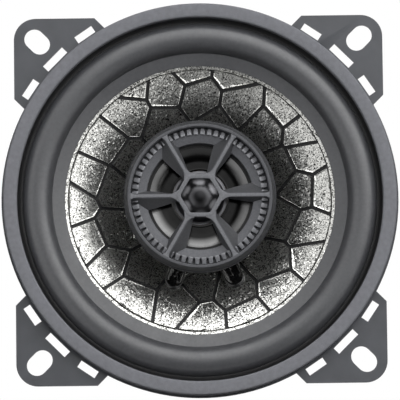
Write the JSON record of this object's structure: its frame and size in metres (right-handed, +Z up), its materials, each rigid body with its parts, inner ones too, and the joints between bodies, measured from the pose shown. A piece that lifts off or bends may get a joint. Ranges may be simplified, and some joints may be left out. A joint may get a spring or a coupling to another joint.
{
  "type": "coaxial car speaker",
  "caption": "Round coaxial loudspeaker: dome tweeter on a post in front of a relief-patterned cone, half-roll surround, gasket, slotted ears, and a ring-magnet motor behind an open basket.",
  "frame": {"origin": "on the speaker's axis, in the plane of the ears' rear face", "axes": "the front faces -Y and the motor lies towards +Y; +X is to the right and +Z up as seen from the front, with the terminals at -Z"},
  "size_m": [0.102, 0.0564, 0.102],
  "materials": {
    "frame_paint": "satin dark grey paint",
    "gasket_foam": "matt dense foam",
    "surround_rubber": "matt moulded rubber",
    "cone_silver": "silver metallised, fine sparkling grain",
    "black_glue": "glossy set glue",
    "former_film": "amber film",
    "copper_wire": "enamelled winding",
    "spider_cloth": "resin-stiffened cloth",
    "zinc_steel": "zinc plated",
    "ferrite": "ground ferrite",
    "board_laminate": "paper laminate",
    "tinned_brass": "tinned",
    "rivet_brass": "bright brass",
    "tinsel_braid": "fine braid",
    "tweeter_plastic": "fine satin moulding",
    "capacitor_sleeve": "shrunk sleeve",
    "lead_insulation": "satin insulation",
    "plated_magnet": "nickel plated",
    "dome_film": "glossy black film",
    "edge_film": "semi-gloss film",
    "clamp_plastic": "black moulding"
  },
  "bodies": {
    "frame": {"basket": "frame_paint", "gasket": "gasket_foam", "surround": "surround_rubber", "spider": "spider_cloth", "top_plate": "zinc_steel", "magnet": "ferrite", "yoke": "zinc_steel", "basket_rivets": "zinc_steel", "terminal_board": "board_laminate", "terminal_positive": "tinned_brass", "terminal_negative": "tinned_brass", "terminal_rivets": "rivet_brass", "tinsel_lead_positive": "tinsel_braid", "tinsel_lead_negative": "tinsel_braid", "tweeter_post": "tweeter_plastic", "post_screw": "zinc_steel", "post_washer": "zinc_steel", "capacitor": "capacitor_sleeve", "tweeter_leads": "lead_insulation", "tweeter_cup": "tweeter_plastic", "tweeter_pot": "zinc_steel", "tweeter_magnet": "plated_magnet", "tweeter_pole_plate": "zinc_steel", "tweeter_edge": "edge_film", "clamp_ring": "clamp_plastic", "tweeter_bezel": "tweeter_plastic"},
    "cone": {"cone": "cone_silver", "glue_dabs": "black_glue", "coil_former": "former_film", "voice_coil": "copper_wire"},
    "dome": {"tweeter_dome": "dome_film", "tweeter_coil": "copper_wire"}
  },
  "joints": [
    {"name": "cone_excursion", "type": "slide", "parent": "frame", "child": "cone", "axis": [0, -1, 0], "range_m": [-0.0025, 0.0025], "stiffness_N_per_m": 1200, "deforming": ["surround", "spider", "tinsel_lead_positive", "tinsel_lead_negative", "tweeter_leads"]},
    {"name": "dome_excursion", "type": "slide", "parent": "frame", "child": "dome", "axis": [0, -1, 0], "range_m": [-0.00025, 0.00025], "stiffness_N_per_m": 60, "deforming": ["tweeter_edge"]}
  ]
}
